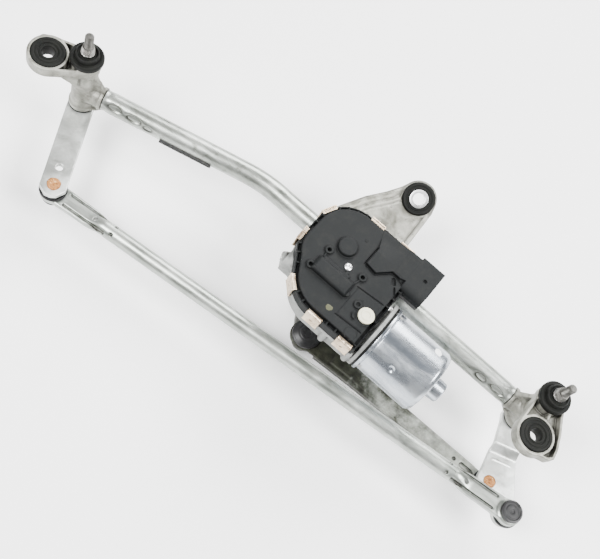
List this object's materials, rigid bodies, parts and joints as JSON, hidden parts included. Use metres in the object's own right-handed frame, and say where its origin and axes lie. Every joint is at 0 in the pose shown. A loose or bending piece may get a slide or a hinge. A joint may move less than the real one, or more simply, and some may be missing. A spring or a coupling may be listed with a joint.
{
  "type": "windshield wiper linkage with motor",
  "caption": "Bent tube frame with two cast spindle housings, a worm-gear wiper motor, crank, levers and rods that swing both spindles together, and rubber-bushed mounts.",
  "frame": {"origin": "middle of the hole through the left rubber mount", "axes": "+X to the right spindle, +Z along both spindles towards their threaded tips, -Y the way the levers point"},
  "size_m": [0.5926, 0.2154, 0.151],
  "materials": {
    "galvanised_tube": "dull zinc plating",
    "foam_strip": "matt foam",
    "cast_aluminium": "rough casting, weathered",
    "bronze": "sintered",
    "black_rubber": "matt",
    "sleeve_steel": "bright",
    "screw_steel": "zinc plated",
    "cover_plastic": "moulded, satin",
    "clip_steel": "tinned spring steel",
    "cream_plastic": "satin",
    "board_green": "solder resist",
    "pin_brass": "tinned",
    "can_steel": "zinc plated",
    "ferrite": "matt",
    "brown_plastic": "phenolic",
    "carbon": "matt",
    "shaft_steel": "ground",
    "core_steel": "laminated",
    "copper": "enamelled wire",
    "wheel_plastic": "greased",
    "crank_steel": "phosphated",
    "lever_zinc": "zinc plated, worn",
    "rusty_steel": "rusty",
    "rod_zinc": "zinc plated",
    "dark_rod": "black passivated, greasy",
    "black_plastic": "satin"
  },
  "bodies": {
    "frame": {"frame_tube": "galvanised_tube", "tube_strip": "foam_strip", "left_housing": "cast_aluminium", "right_housing": "cast_aluminium", "left_bushes": "bronze", "right_bushes": "bronze", "left_seal": "black_rubber", "right_seal": "black_rubber", "left_cap": "black_rubber", "right_cap": "black_rubber", "left_grommet": "black_rubber", "right_grommet": "black_rubber", "centre_grommet": "black_rubber", "centre_sleeve": "sleeve_steel", "motor_bracket": "cast_aluminium", "bracket_screws": "screw_steel", "gear_housing": "cast_aluminium", "cover_gasket": "black_rubber", "gear_cover": "cover_plastic", "cover_clips": "clip_steel", "breather_plug": "cream_plastic", "cover_rivet": "screw_steel", "circuit_board": "board_green", "connector_pins": "pin_brass", "output_bush": "bronze", "thrust_screw": "screw_steel", "motor_can": "can_steel", "can_seal": "black_rubber", "can_screws": "screw_steel", "magnets": "ferrite", "brush_holder": "brown_plastic", "brushes": "carbon", "front_bearing": "shaft_steel", "rear_bearing": "bronze"},
    "armature": {"armature_shaft": "shaft_steel", "armature_core": "core_steel", "windings": "copper", "commutator": "copper", "worm": "shaft_steel"},
    "crank": {"worm_wheel": "wheel_plastic", "output_shaft": "shaft_steel", "crank_arm": "crank_steel", "crank_nut": "screw_steel", "crank_ball": "shaft_steel"},
    "left_arm": {"left_spindle": "shaft_steel", "left_clip": "core_steel", "left_lever": "lever_zinc", "left_ball": "rusty_steel"},
    "right_arm": {"right_spindle": "shaft_steel", "right_clip": "core_steel", "right_lever": "lever_zinc", "right_ball": "shaft_steel", "lever_pin_ball": "rusty_steel"},
    "long_link": {"long_rod": "rod_zinc", "long_rod_left_socket": "black_plastic", "long_rod_right_socket": "black_plastic"},
    "short_link": {"short_rod": "dark_rod", "short_rod_crank_socket": "black_plastic", "short_rod_lever_socket": "black_plastic"}
  },
  "joints": [
    {"name": "armature_turn", "type": "hinge", "parent": "frame", "child": "armature", "pos_m": [0.30269, -0.01683, -0.019], "axis": [0.9949, -0.1014, 0], "range_deg": [-755, 5594]},
    {"name": "crank_turn", "type": "hinge", "parent": "frame", "child": "crank", "pos_m": [0.30614, 0.01699, -0.065], "axis": [0, 0, 1], "range_deg": [-88.8, 12]},
    {"name": "right_spindle_turn", "type": "hinge", "parent": "frame", "child": "right_arm", "pos_m": [0.52914, 0.01549, -0.065], "axis": [0, 0, 1], "range_deg": [-74, 10]},
    {"name": "left_spindle_turn", "type": "hinge", "parent": "frame", "child": "left_arm", "pos_m": [0.02914, 0.01549, -0.065], "axis": [0, 0, 1], "range_deg": [-74, 10]},
    {"name": "long_rod_pivot", "type": "hinge", "parent": "right_arm", "child": "long_link", "pos_m": [0.56285, -0.06795, -0.059], "axis": [0, 0, 1], "range_deg": [-10, 74]},
    {"name": "short_rod_pivot", "type": "hinge", "parent": "right_arm", "child": "short_link", "pos_m": [0.53775, -0.04994, -0.083], "axis": [0, 0, 1], "range_deg": [-10.4, 76.96]}
  ],
  "couplings": [
    {"joint": "crank_turn", "follows": "armature_turn", "ratio": -0.015873},
    {"joint": "right_spindle_turn", "follows": "armature_turn", "ratio": -0.013228},
    {"joint": "left_spindle_turn", "follows": "armature_turn", "ratio": -0.013228},
    {"joint": "long_rod_pivot", "follows": "armature_turn", "ratio": 0.013228},
    {"joint": "short_rod_pivot", "follows": "armature_turn", "ratio": 0.013757}
  ]
}
